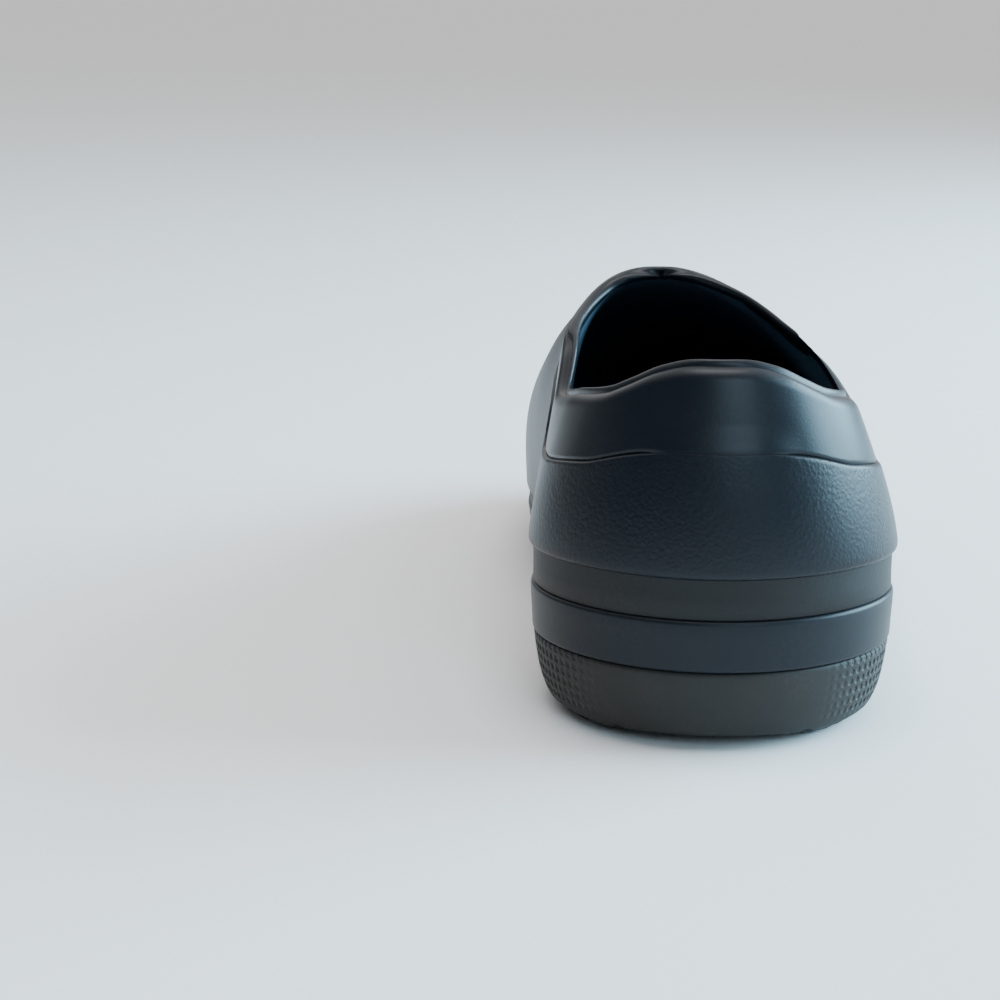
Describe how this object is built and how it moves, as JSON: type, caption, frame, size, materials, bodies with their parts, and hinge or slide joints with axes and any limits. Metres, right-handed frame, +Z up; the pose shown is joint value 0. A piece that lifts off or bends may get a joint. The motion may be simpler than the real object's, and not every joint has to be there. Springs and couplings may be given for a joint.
{
  "type": "rubber garden clog",
  "caption": "Closed-heel garden clog for the right foot, with a moulded upper, a soft inset heel collar, a layered sole and a loose insole that lifts.",
  "frame": {"origin": "middle of the clog's length and width, on the ground", "axes": "+Y to the toe, +X to the outer side of the foot, +Z up"},
  "size_m": [0.1094, 0.2901, 0.1027],
  "materials": {
    "upper_shell": "satin black with a fine pebbled grain",
    "heel_collar": "smooth dull black",
    "midsole": "matte black foam",
    "foxing_band": "smooth satin black",
    "outsole": "matte black with fine dimples on the sides",
    "footbed_foam": "matte foam",
    "footbed_cloth": "dark knitted cloth",
    "cushion_foam": "matte foam"
  },
  "bodies": {
    "clog": {"upper_shell": "upper_shell", "heel_collar": "heel_collar", "midsole": "midsole", "foxing_band": "foxing_band", "outsole": "outsole"},
    "insole": {"footbed_base": "footbed_foam", "footbed_cover": "footbed_cloth", "heel_cushion": "cushion_foam"}
  },
  "joints": [
    {"name": "insole_lift", "type": "hinge", "parent": "clog", "child": "insole", "pos_m": [0, 0.134, 0.021], "axis": [-1, 0, 0], "range_deg": [0, 6]}
  ]
}
